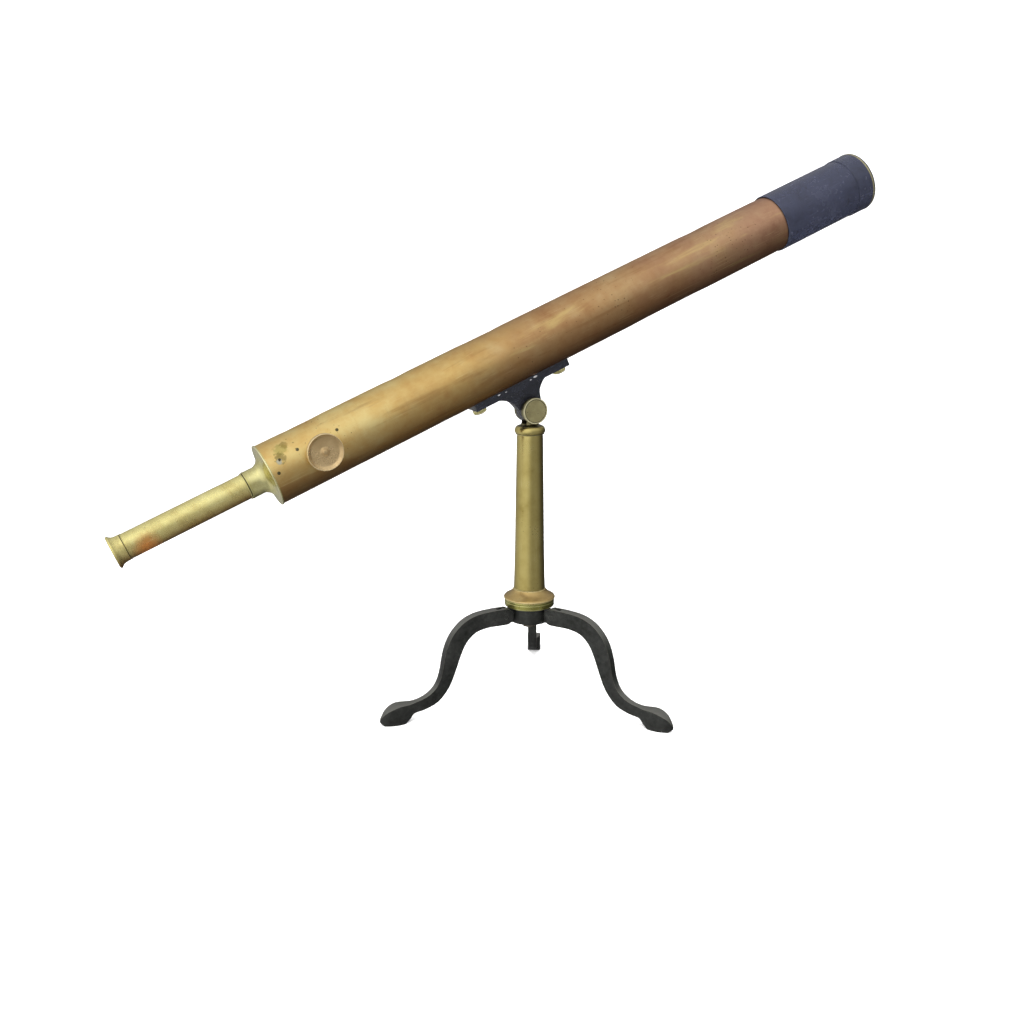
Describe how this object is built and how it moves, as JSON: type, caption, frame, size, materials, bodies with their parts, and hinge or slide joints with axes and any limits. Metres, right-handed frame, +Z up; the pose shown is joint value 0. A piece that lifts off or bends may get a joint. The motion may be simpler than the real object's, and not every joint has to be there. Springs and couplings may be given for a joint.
{
  "type": "brass telescope",
  "caption": "Brass refracting telescope with sliding sunshade and rack-focused drawtube, tilting and turning on a turned pillar with folding cabriole legs.",
  "frame": {"origin": "on the floor plane under the pillar's axis", "axes": "+Z up, +X the level heading of the objective end, -Y the focus knob's side"},
  "size_m": [1.1169, 0.3979, 0.7702],
  "materials": {
    "bronze_dark": "dark patinated, satin",
    "pin_brass": "satin",
    "band_brass": "aged, satin",
    "pillar_brass": "aged lacquer",
    "flare_brass": "worn lacquer",
    "inner_brass": "satin",
    "steel": "satin",
    "fork_bronze": "aged, satin",
    "japan_black": "gloss black",
    "tube_brass": "worn lacquer",
    "tail_brass": "polished, worn",
    "draw_brass": "polished, worn",
    "knob_brass": "aged, satin",
    "matt_black": "matt black",
    "lens_glass": "clear"
  },
  "bodies": {
    "stand": {"hub": "bronze_dark", "leg_pins": "pin_brass", "foot_band": "band_brass", "foot_flare": "flare_brass", "column": "pillar_brass", "column_plug": "inner_brass", "tie_bolt": "steel", "tie_washer": "inner_brass", "column_collar": "pillar_brass", "spindle_bush": "inner_brass"},
    "back_leg": {"leg_back": "bronze_dark"},
    "left_leg": {"leg_left": "bronze_dark"},
    "right_leg": {"leg_right": "bronze_dark"},
    "head": {"pivot_fork": "fork_bronze", "spindle_washer": "inner_brass", "spindle_nut": "steel", "pivot_bolt": "fork_bronze"},
    "pivot_clamp": {"clamp_knob": "knob_brass"},
    "tube": {"saddle_bracket": "japan_black", "main_tube": "tube_brass", "saddle_pad": "inner_brass", "tail_piece": "tail_brass", "tail_screws": "inner_brass", "pinion_box": "inner_brass", "box_screws": "inner_brass", "pinion_bush": "inner_brass", "draw_guide": "inner_brass", "baffle_rear": "matt_black", "baffle_front": "matt_black", "objective_cell": "inner_brass", "crown_lens": "lens_glass", "flint_lens": "lens_glass", "lens_spacer": "matt_black", "cell_ring": "inner_brass"},
    "rear_screw": {"thumbscrew_rear": "tail_brass"},
    "front_screw": {"thumbscrew_front": "tail_brass"},
    "shade": {"sunshade": "japan_black", "mouth_ring": "japan_black"},
    "draw": {"drawtube": "draw_brass", "focus_rack": "inner_brass", "rack_screws": "steel", "draw_stop": "inner_brass", "erector_tube": "inner_brass", "erector_lens_rear": "lens_glass", "erector_lens_front": "lens_glass", "erector_rings": "matt_black"},
    "focus": {"pinion_shaft": "steel", "focus_knob": "knob_brass", "knob_screw": "knob_brass"},
    "eyepiece": {"eyecup": "draw_brass", "eyepiece_tube": "draw_brass", "eye_lens": "lens_glass", "field_lens": "lens_glass", "field_stop": "matt_black"}
  },
  "joints": [
    {"name": "fold_back_leg", "type": "hinge", "parent": "stand", "child": "back_leg", "pos_m": [0.01878, 0.03532, 0.1299], "axis": [-0.8829, 0.4695, 0], "range_deg": [0, 48]},
    {"name": "fold_left_leg", "type": "hinge", "parent": "stand", "child": "left_leg", "pos_m": [-0.03998, -0.0014, 0.1299], "axis": [0.0349, -0.9994, 0], "range_deg": [0, 48]},
    {"name": "fold_right_leg", "type": "hinge", "parent": "stand", "child": "right_leg", "pos_m": [0.0212, -0.03392, 0.1299], "axis": [0.848, 0.5299, 0], "range_deg": [0, 48]},
    {"name": "turn_head", "type": "hinge", "parent": "stand", "child": "head", "pos_m": [0, 0, 0.37], "axis": [0, 0, 1], "continuous": true},
    {"name": "tilt_tube", "type": "hinge", "parent": "head", "child": "tube", "pos_m": [0, 0, 0.42], "axis": [0, -1, 0], "range_deg": [-45, 24]},
    {"name": "turn_clamp_knob", "type": "hinge", "parent": "head", "child": "pivot_clamp", "pos_m": [0, -0.0155, 0.42], "axis": [0, 1, 0], "range_deg": [-270, 0]},
    {"name": "turn_rear_screw", "type": "hinge", "parent": "tube", "child": "rear_screw", "pos_m": [-0.07819, 0, 0.43125], "axis": [-0.3811, 0, 0.9245], "range_deg": [-360, 0]},
    {"name": "turn_front_screw", "type": "hinge", "parent": "tube", "child": "front_screw", "pos_m": [0.04015, 0, 0.48003], "axis": [-0.3811, 0, 0.9245], "range_deg": [-360, 0]},
    {"name": "slide_sunshade", "type": "slide", "parent": "tube", "child": "shade", "axis": [0.9245, 0, 0.3811], "range_m": [0, 0.1]},
    {"name": "slide_drawtube", "type": "slide", "parent": "tube", "child": "draw", "axis": [-0.9245, 0, -0.3811], "range_m": [-0.025, 0.022]},
    {"name": "turn_focus_knob", "type": "hinge", "parent": "tube", "child": "focus", "pos_m": [-0.30211, -0.04, 0.39196], "axis": [0, 1, 0], "range_deg": [-305, 270]},
    {"name": "slide_eyepiece", "type": "slide", "parent": "draw", "child": "eyepiece", "axis": [-0.9245, 0, -0.3811], "range_m": [0, 0.03]}
  ],
  "couplings": [
    {"joint": "turn_focus_knob", "follows": "slide_drawtube", "rad_per_m": 208.33}
  ]
}
